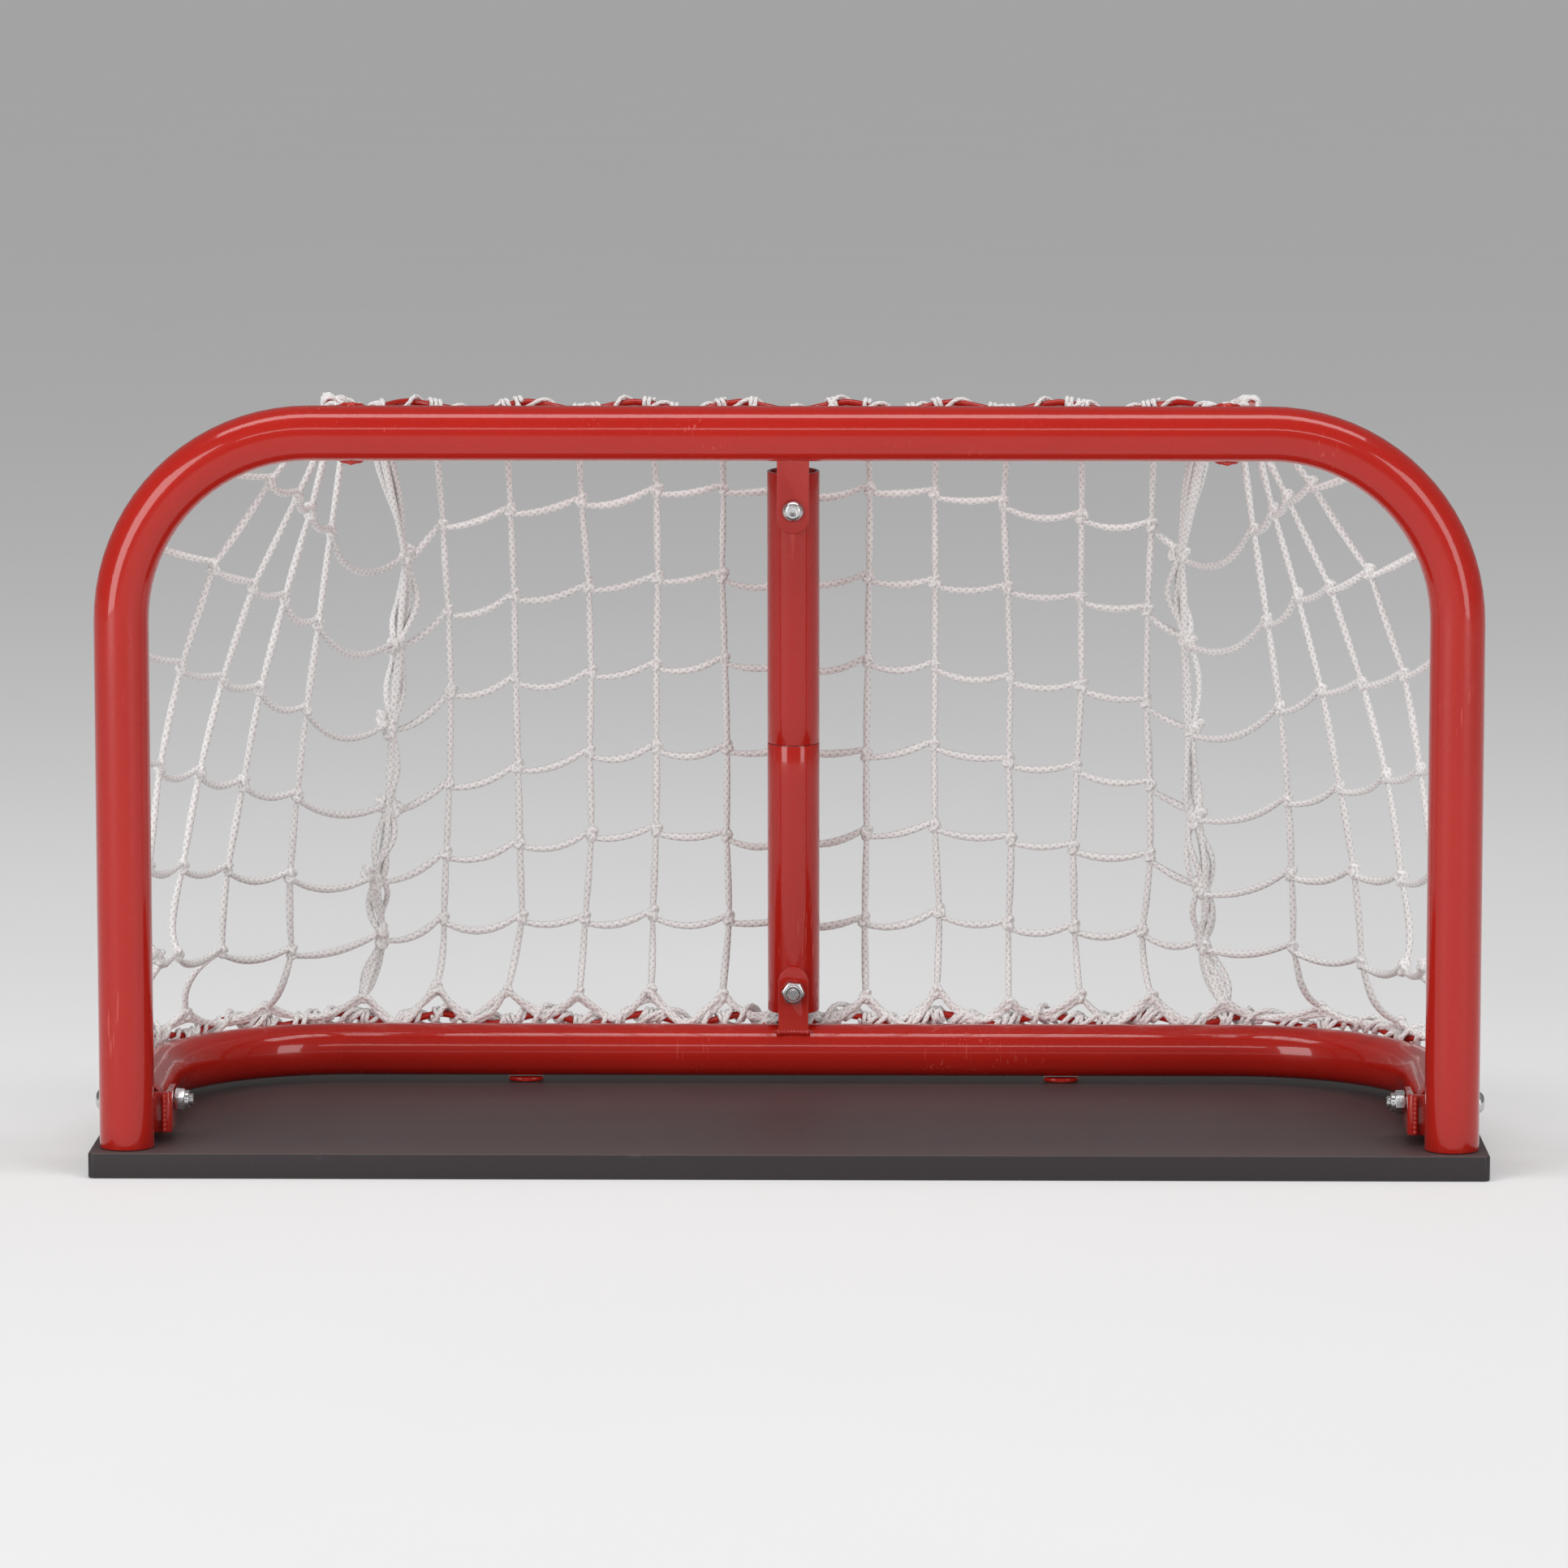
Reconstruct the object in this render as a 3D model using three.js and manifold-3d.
// Mini hockey goal: bent-tube front hoop, rear top frame, base frame, bolted
// two-piece rear brace, lacing wires, base board and net.
// Millimetres, +Z up. -Y is the open mouth, +Y the back, -X left and +X right.
// The origin is on the floor midway between the posts.
import * as THREE from 'three';
import { mergeVertices } from 'three/addons/utils/BufferGeometryUtils.js';
import Module from 'manifold-3d';

const wasm = await Module();
wasm.setup();

// ---- shared dimensions; frame sizes are to tube centrelines ----
const GAP = 0.3;              // clearance between neighbouring pieces
const TUBE_R = 12.7;
const WALL = 1.5;
const TUBE_SIDES = 16;
const TUBE_CLEAR = TUBE_R + GAP;  // from a tube's axis to a piece lying against it
const BOARD_T = 12;
const BOARD_TOP = BOARD_T + GAP;  // where pieces standing on the board begin

const HOOP_X = 307.3;         // post
const HOOP_TOP = 344.3;       // crossbar height
const HOOP_BEND = 87;

const BASE_X = 304.3;         // side of the base frame
const BASE_Y = 190;           // its rear
const BASE_Z = 27.2;
const BASE_BEND = 90;
const BASE_END = 20;          // its front ends

const TOP_X = 201;            // arm of the rear top frame
const TOP_Y = 170;            // its reach back from the crossbar
const TOP_Z = 331;            // its height at the back
const TOP_BEND = 58;
const TOP_START = 4;          // front ends of the arms, before the crossbar cut
const TOP_TILT = Math.atan2(HOOP_TOP - TOP_Z, TOP_Y);

const HINGE_Y = 28;           // side bolts
const HINGE_Z = 29.5;
const TAB_T = 2.5;            // thickness of tabs and bracket plates
const HOLE_R = 3.3;
const HOLE_SIDES = 16;
const CUTTER_SIDES = 32;      // cutters that fit round a tube

const SIDES = [['left', -1], ['right', 1]];   // name, sign of x

// ---- finishes ----
const RED = { color: 0xb3201c, roughness: 0.32, metalness: 0 };
const STEEL = { color: 0xb9bcc2, roughness: 0.3, metalness: 1 };
const BOARD = { color: 0x4b4142, roughness: 0.6, metalness: 0 };
const NET = { color: 0xe4e2df, roughness: 0.9, metalness: 0 };

// ---- mesh and solid helpers ----
const group = new THREE.Group();

function add(name, geometry, finish, parent = group) {
  const mesh = new THREE.Mesh(geometry, new THREE.MeshStandardMaterial(finish));
  mesh.name = name;
  parent.add(mesh);
  return mesh;
}

function toSolid(geometry) {
  const bare = geometry.clone();
  for (const name of Object.keys(bare.attributes)) {
    if (name !== 'position') bare.deleteAttribute(name);
  }
  const merged = mergeVertices(bare, 1e-3);
  return new wasm.Manifold(new wasm.Mesh({
    numProp: 3,
    vertProperties: new Float32Array(merged.attributes.position.array),
    triVerts: new Uint32Array(merged.index.array),
  }));
}

function toGeometry(solid) {
  const mesh = solid.getMesh();
  const geometry = new THREE.BufferGeometry();
  const positions = new Float32Array(mesh.vertProperties);
  geometry.setAttribute('position', new THREE.BufferAttribute(positions, 3));
  geometry.setIndex(new THREE.BufferAttribute(new Uint32Array(mesh.triVerts), 1));
  return geometry;
}

function cut(geometry, ...tools) {
  return toGeometry(tools.reduce((rest, tool) => rest.subtract(toSolid(tool)), toSolid(geometry)));
}

function place(geometry, position, rotation = [0, 0, 0]) {
  return geometry.clone().applyMatrix4(new THREE.Matrix4().compose(
    new THREE.Vector3(...position),
    new THREE.Quaternion().setFromEuler(new THREE.Euler(...rotation)),
    new THREE.Vector3(1, 1, 1)));
}

// ---- shape helpers ----
const toVectors = (pairs) => pairs.map(([x, y]) => new THREE.Vector2(x, y));

// anticlockwise shape through [x, y] pairs
function polygon(pairs) {
  const points = toVectors(pairs);
  if (THREE.ShapeUtils.area(points) < 0) points.reverse();
  return new THREE.Shape(points);
}

function ring(radius, sides, centreY = 0) {
  return Array.from({ length: sides }, (_, i) => {
    const angle = 2 * Math.PI * i / sides;
    return new THREE.Vector2(radius * Math.cos(angle), centreY + radius * Math.sin(angle));
  });
}

const hole = (...ringSizes) => new THREE.Path(ring(...ringSizes).reverse());

function extrude(shape, depth) {
  return new THREE.ExtrudeGeometry(shape, { depth, bevelEnabled: false, curveSegments: 12 });
}

const lathe = (profile, sides) => new THREE.LatheGeometry(toVectors(profile), sides);

function xCylinder(radius, length, sides, position) {
  const cylinder = new THREE.CylinderGeometry(radius, radius, length, sides);
  return place(cylinder, position, [0, 0, Math.PI / 2]);
}

// ---- sweeps ----
// A curve sampled exactly at its points, with mitred tangents.
class PointPath extends THREE.Curve {
  constructor(points) {
    super();
    this.points = points;
  }

  indexAt(u) {
    return Math.round(u * (this.points.length - 1));
  }

  getPointAt(u) {
    return this.points[this.indexAt(u)].clone();
  }

  getTangentAt(u) {
    const i = this.indexAt(u);
    const { [i - 1]: before, [i]: here, [i + 1]: after } = this.points;
    const tangent = new THREE.Vector3();
    if (before) tangent.add(here.clone().sub(before).normalize());
    if (after) tangent.add(after.clone().sub(here).normalize());
    return tangent.normalize();
  }
}

function sweep(points, radius, sides, bore = 0) {
  const section = new THREE.Shape(ring(radius, sides));
  if (bore > 0) section.holes.push(hole(bore, sides));
  return new THREE.ExtrudeGeometry(section, {
    steps: points.length - 1,
    extrudePath: new PointPath(points),
    bevelEnabled: false,
  });
}

// U outline in a plane: up the -x side, round two corners, down the +x side.
// at() gives [x, y] by distance along it, moved outwards by out.
function uPath(halfWidth, bend, low, high) {
  const side = high - bend - low;
  const arc = bend * Math.PI / 2;
  const length = 2 * side + 2 * arc + 2 * (halfWidth - bend);
  const at = (distance, out = 0) => {
    if (distance > length / 2) {
      const [x, y] = at(length - distance, out);
      return [-x, y];
    }
    if (distance <= side) return [-halfWidth - out, low + distance];
    if (distance <= side + arc) {
      const angle = (distance - side) / bend;
      const radius = bend + out;
      return [bend - halfWidth - radius * Math.cos(angle), high - bend + radius * Math.sin(angle)];
    }
    return [bend - halfWidth + distance - side - arc, high + out];
  };
  return { at, length, side, arc };
}

// toSpace turns an outline's [x, y] and a height over its plane into a 3D point
function tubeAlong(path, toSpace, cornerSteps = 9) {
  const half = [0];
  for (let i = 0; i <= cornerSteps; i++) half.push(path.side + path.arc * i / cornerSteps);
  const stations = [...half, ...half.map((distance) => path.length - distance).reverse()];
  const points = stations.map((distance) => toSpace(path.at(distance), 0));
  return sweep(points, TUBE_R, TUBE_SIDES, TUBE_R - WALL);
}

// ---- zigzag lacing wires ----
const WIRE_R = 1.75;
const WIRE_SIDES = 6;
const WIRE_LOW = 15.2;        // wire axis from the tube axis at its low points
const WIRE_HIGH = 21.5;       // and at its crests
const WIRE_STEP = 25.5;       // half a wave
const wireOffset = (i) => (i % 2 ? WIRE_HIGH : WIRE_LOW);
const wire = (points) => sweep(points, WIRE_R, WIRE_SIDES);

// out and over give the wire's direction from the tube's axis, in and off the outline's plane
function lacingWire(path, toSpace, start,
  { end = path.length - start, out = Math.SQRT1_2, over = Math.SQRT1_2 } = {}) {
  const usable = end - start;
  const count = 2 * Math.round(usable / WIRE_STEP / 2);
  const points = [];
  for (let i = 0; i <= count; i++) {
    const offset = wireOffset(i);
    points.push(toSpace(path.at(start + usable * i / count, offset * out), offset * over));
  }
  return wire(points);
}

// ---- base board ----
const BOARD_HALF = 324;       // half width
const BOARD_FRONT = -17;      // front edge
const BOARD_MARGIN = 4;       // board beyond the base frame at the back
const FRONT_R = 3;            // front corner radius

function boardShape() {
  const back = BASE_Y + TUBE_R + BOARD_MARGIN;
  const backR = BASE_BEND + TUBE_R + BOARD_MARGIN;
  const frontX = BOARD_HALF - FRONT_R;
  const frontY = BOARD_FRONT + FRONT_R;
  const backX = BOARD_HALF - backR;
  const backY = back - backR;
  const quarter = Math.PI / 2;
  const shape = new THREE.Shape();
  shape.moveTo(-frontX, BOARD_FRONT);
  shape.lineTo(frontX, BOARD_FRONT);
  shape.absarc(frontX, frontY, FRONT_R, -quarter, 0, false);
  shape.lineTo(BOARD_HALF, backY);
  shape.absarc(backX, backY, backR, 0, quarter, false);
  shape.lineTo(-backX, back);
  shape.absarc(-backX, backY, backR, quarter, Math.PI, false);
  shape.lineTo(-BOARD_HALF, frontY);
  shape.absarc(-frontX, frontY, FRONT_R, Math.PI, 3 * quarter, false);
  return shape;
}
add('base_board', extrude(boardShape(), BOARD_T), BOARD);

// ---- front hoop and its lacing wires ----
const HOOP_WIRE_START = 45;   // along the hoop from the foot of a post
const CROSSBAR_STEPS = 14;    // half waves of the crossbar's wire
const hoop = uPath(HOOP_X, HOOP_BEND, BOARD_TOP, HOOP_TOP);
const hoopSpace = ([x, z], back) => new THREE.Vector3(x, back, z);
add('front_hoop', tubeAlong(hoop, hoopSpace), RED);

// one wire runs behind each post and its corner, and stops beside the top frame's arm
for (const [side, sign] of SIDES) {
  const sideSpace = ([x, z], back) => hoopSpace([-sign * x, z], back);
  const reach = { end: hoop.side + hoop.arc + 1, out: 0, over: 1 };
  add(`hoop_lacing_wire_${side}`, lacingWire(hoop, sideSpace, HOOP_WIRE_START, reach), RED);
}

// the crossbar's wire lies behind it, between the arms of the top frame
const crossbarPoints = [];
for (let i = 0; i <= CROSSBAR_STEPS; i++) {
  const x = WIRE_STEP * (i - CROSSBAR_STEPS / 2);
  crossbarPoints.push(new THREE.Vector3(x, wireOffset(i), HOOP_TOP));
}
add('crossbar_lacing_wire', wire(crossbarPoints), RED);

// ---- base frame, drilled for the side bolts, with its wire and oval feet ----
const BASE_WIRE_START = 40;
const FOOT = { x: 131, y: BASE_Y - 1, radiusX: 8.5, radiusY: 6.5, height: 1.9, sides: 16 };
const base = uPath(BASE_X, BASE_BEND, BASE_END, BASE_Y);
const baseSpace = ([x, y], up) => new THREE.Vector3(x, y, BASE_Z + up);
const hingeHole = (sign, length) => (
  xCylinder(HOLE_R, length, HOLE_SIDES, [sign * BASE_X, HINGE_Y, HINGE_Z]));
add('base_frame', cut(tubeAlong(base, baseSpace), hingeHole(-1, 40), hingeHole(1, 40)), RED);
add('base_lacing_wire', lacingWire(base, baseSpace, BASE_WIRE_START), RED);
for (const [side, sign] of SIDES) {
  const oval = polygon(ring(1, FOOT.sides).map(({ x, y }) => [x * FOOT.radiusX, y * FOOT.radiusY]));
  const foot = place(extrude(oval, FOOT.height), [sign * FOOT.x, FOOT.y, BOARD_TOP]);
  add(`base_foot_${side}`, foot, RED);
}

// ---- rear top frame: arms cut to fit behind the crossbar, sloping down to the back ----
const TOP_WIRE_START = 34;
const topPath = uPath(TOP_X, TOP_BEND, TOP_START, TOP_Y);
const topSpace = ([x, along], up) => new THREE.Vector3(
  x,
  along * Math.cos(TOP_TILT) + up * Math.sin(TOP_TILT),
  HOOP_TOP - along * Math.sin(TOP_TILT) + up * Math.cos(TOP_TILT));
const crossbarCutter = xCylinder(TUBE_CLEAR + 0.2, 2 * HOOP_X, CUTTER_SIDES, [0, 0, HOOP_TOP]);
add('top_frame', cut(tubeAlong(topPath, topSpace, 8), crossbarCutter), RED);
add('top_lacing_wire', lacingWire(topPath, topSpace, TOP_WIRE_START), RED);

// ---- hinge brackets behind the posts' feet: channels with their ears to the back ----
const EAR_IN = 13.5;          // ear's inner face from the base tube's axis
const EAR_OUT = EAR_IN + 3;
const EAR_END = HINGE_Y + 9;
const BRACKET_Z = 16.5;       // bottom of the bracket
const BRACKET_HEIGHT = 19;
const plateBack = TUBE_CLEAR + TAB_T;
const channel = polygon([
  [-EAR_OUT, TUBE_CLEAR], [EAR_OUT, TUBE_CLEAR], [EAR_OUT, EAR_END], [EAR_IN, EAR_END],
  [EAR_IN, plateBack], [-EAR_IN, plateBack], [-EAR_IN, EAR_END], [-EAR_OUT, EAR_END],
]);
for (const [side, sign] of SIDES) {
  const body = place(extrude(channel, BRACKET_HEIGHT), [sign * BASE_X, 0, BRACKET_Z]);
  add(`hinge_bracket_${side}`, cut(body, hingeHole(sign, 50)), RED);
}

// ---- fasteners, along +Y of their own frame: head at y < 0, shank to y > 0 ----
const BOLT_R = 3;             // M6
const BOLT_EXTRA = 8.6;       // shank beyond the nut's seat
const BOLT_CHAMFER = 0.6;
const SOCKET = { radius: 2.3, depth: 4, centreY: -3.6 };
const NUT_FLATS = 10;         // across flats
const FASTENER_SIDES = 18;
// radius, y
const BOLT_HEAD = [[0, -3.3], [2.6, -3.15], [4.1, -2.5], [5, -1.4], [5.25, -0.5], [5.25, 0]];
const NUT_PROFILE = [
  [HOLE_R, 0], [4.9, 0], [5.9, 0.6], [5.9, 4.2], [4.9, 4.8],
  [4.4, 4.8], [4.4, 6.2], [3.9, 6.7], [HOLE_R, 6.7], [HOLE_R, 0],
];

function boltGeometry(shank) {
  const body = lathe([...BOLT_HEAD, [BOLT_R, 0], [BOLT_R, shank - BOLT_CHAMFER],
    [BOLT_R - BOLT_CHAMFER, shank], [0, shank]], FASTENER_SIDES);
  const socket = new THREE.CylinderGeometry(SOCKET.radius, SOCKET.radius, SOCKET.depth, 6);
  return cut(body, place(socket, [0, SOCKET.centreY, 0]));
}

function nutGeometry() {
  const radius = NUT_FLATS / 2 / Math.cos(Math.PI / 6);
  const hexagon = toSolid(new THREE.CylinderGeometry(radius, radius, 20, 6));
  return toGeometry(toSolid(lathe(NUT_PROFILE, FASTENER_SIDES)).intersect(hexagon));
}

// grip is the distance from under the bolt's head to the nut
function fastener(name, grip, parent, position, rotation) {
  const bolt = add(`${name}_bolt`, boltGeometry(grip + BOLT_EXTRA), STEEL, parent);
  const holder = new THREE.Group();
  for (const item of [bolt, holder]) {
    item.position.set(...position);
    item.rotation.set(...rotation);
  }
  parent.add(holder);
  add(`${name}_nut`, nutGeometry(), STEEL, holder).position.y = grip;
}

const headSeat = EAR_OUT + GAP;
for (const [side, sign] of SIDES) {
  const position = [sign * (BASE_X + headSeat), HINGE_Y, HINGE_Z];
  fastener(`${side}_side`, 2 * headSeat, group, position, [0, 0, sign * Math.PI / 2]);
}

// ---- rear centre brace, in its own leaning frame centred on the top bolt ----
const PIVOT_Y = 179.2;        // top bolt on the brace axis
const PIVOT_Z = 295.3;
const LEAN = 0.0675;          // radians
// heights along the brace from the top bolt
const BRACE_TOP = 17.3;
const LOW_BOLT = -237.2;
const BRACE_BOTTOM = -249.4;
const JOINT = (BRACE_TOP + BRACE_BOTTOM) / 2;
const BRACE_SIDES = 24;
const SPIGOT_R = TUBE_R - WALL - GAP - 0.1;
const SPIGOT_HALF = 32;       // half length
const CUT_DEPTH = 60;         // cutters through the brace, front to back
const SLOT = { width: 16, height: 2 * HOLE_R + 0.8, z: LOW_BOLT + 0.2 };

const brace = new THREE.Group();
brace.position.set(0, PIVOT_Y, PIVOT_Z);
brace.rotation.x = LEAN;
group.add(brace);
brace.updateMatrix();
const intoBrace = brace.matrix.clone().invert();

function straightTube(low, high, radius) {
  const bore = radius - WALL;
  const profile = [[bore, low], [radius, low], [radius, high], [bore, high], [bore, low]];
  return lathe(profile, BRACE_SIDES).rotateX(Math.PI / 2);
}

const boltHole = (z) => (
  place(new THREE.CylinderGeometry(HOLE_R, HOLE_R, CUT_DEPTH, HOLE_SIDES), [0, 0, z]));
const upperTube = straightTube(JOINT + GAP / 2, BRACE_TOP, TUBE_R);
add('brace_upper_tube', cut(upperTube, boltHole(0)), RED, brace);

// the lower hole is opened to the +X side, so that the tube can leave the bolt sideways
const lowerTube = straightTube(BRACE_BOTTOM, JOINT - GAP / 2, TUBE_R);
const slot = place(new THREE.BoxGeometry(SLOT.width, CUT_DEPTH, SLOT.height),
  [SLOT.width / 2, 0, SLOT.z]);
add('brace_lower_tube', cut(lowerTube, boltHole(LOW_BOLT), slot), RED, brace);
const spigot = straightTube(JOINT - SPIGOT_HALF, JOINT + SPIGOT_HALF, SPIGOT_R);
add('brace_spigot', spigot, STEEL, brace);

// ---- tabs in front of the brace: round at one end, fitted to a frame tube at the other ----
const TAB_ARC_STEPS = 10;
const TRIM = 60;              // edge of the cube that trims a tab at its tube's height

// heights are in the brace's frame
function tabStrip({ width, holeZ, roundEnd, weldedEnd }) {
  const radius = width / 2;
  const direction = Math.sign(roundEnd - holeZ);
  const centreZ = roundEnd - direction * radius;
  const points = [];
  for (let i = 0; i <= TAB_ARC_STEPS; i++) {
    const angle = Math.PI * i / TAB_ARC_STEPS;
    points.push([radius * Math.cos(angle), centreZ + direction * radius * Math.sin(angle)]);
  }
  const shape = polygon([...points, [-radius, weldedEnd], [radius, weldedEnd]]);
  shape.holes.push(hole(HOLE_R, HOLE_SIDES, holeZ));
  return place(extrude(shape, TAB_T), [0, -TUBE_CLEAR, 0], [Math.PI / 2, 0, 0]);
}

// tube and trim are [y, z] centres of the cutters in the goal's frame
function addTab(name, strip, tube, trim) {
  const tubeCutter = xCylinder(TUBE_CLEAR + 0.1, 80, CUTTER_SIDES, [0, ...tube]);
  const trimCutter = place(new THREE.BoxGeometry(TRIM, TRIM, TRIM), [0, ...trim]);
  const cutters = [tubeCutter, trimCutter].map((cutter) => cutter.applyMatrix4(intoBrace));
  add(name, cut(tabStrip(strip), ...cutters), RED, brace);
}
addTab('top_tab', { width: 15.6, holeZ: 0, roundEnd: -11.5, weldedEnd: 40 },
  [TOP_Y * Math.cos(TOP_TILT), TOP_Z + 0.05], [160, TOP_Z + TRIM / 2]);
addTab('base_tab', { width: 14.6, holeZ: LOW_BOLT, roundEnd: LOW_BOLT + 12, weldedEnd: -275 },
  [BASE_Y, BASE_Z], [180, BASE_Z - TRIM / 2]);

// the top bolt's head is in front, the lower bolt's head behind
const tabFront = TUBE_CLEAR + TAB_T + GAP;
const braceGrip = tabFront + TUBE_CLEAR;
fastener('brace_top', braceGrip, brace, [0, -tabFront, 0], [0, 0, 0]);
fastener('brace_base', braceGrip, brace, [0, TUBE_CLEAR, LOW_BOLT], [0, 0, Math.PI]);

// ---- net envelope: thin panels that hold the net's place ----
const NET_T = 2;
const NET_BACK_WIDTH = 400;
const NET_SIDE_Z = 56;        // bottom of the side panels
const NET_SIDE_HEIGHT = 256;
const NET_TOP_RISE = 1;       // top panel's underside above the crossbar axis, at y = 0

// inner face of the back panel from top to bottom: y, z
const BACK_LINE = [
  [188, 346], [206, 322], [215, 280], [220, 220], [222, 160],
  [222, 110], [221, 76], [218, 58], [213, 50],
];
// plan of the right panel, outer face then inner face: x, y
const SIDE_PLAN = [
  [304.6, 25], [290, 78], [262, 132], [216, 184],
  [214.4, 182.6], [260, 131], [288, 77.4], [302.6, 24.5],
];
// outline of the top panel: x, y along the slope
const TOP_PANEL = [
  [-183, 28], [183, 28], [183, 108], [174, 136],
  [150, 152], [-150, 152], [-174, 136], [-183, 108],
];

// the outer face's top edge stands 1 mm above the inner one
const backOuter = BACK_LINE.map(([y, z], i) => [y + NET_T, i === 0 ? z + 1 : z]).reverse();
add('net_back', place(extrude(polygon([...BACK_LINE, ...backOuter]), NET_BACK_WIDTH),
  [-NET_BACK_WIDTH / 2, 0, 0], [Math.PI / 2, Math.PI / 2, 0]), NET);
for (const [side, sign] of SIDES) {
  const plan = polygon(SIDE_PLAN.map(([x, y]) => [sign * x, y]));
  add(`net_${side}`, place(extrude(plan, NET_SIDE_HEIGHT), [0, 0, NET_SIDE_Z]), NET);
}
add('net_top', place(extrude(polygon(TOP_PANEL), NET_T),
  [0, 0, HOOP_TOP + NET_TOP_RISE], [-TOP_TILT, 0, 0]), NET);

export default group;
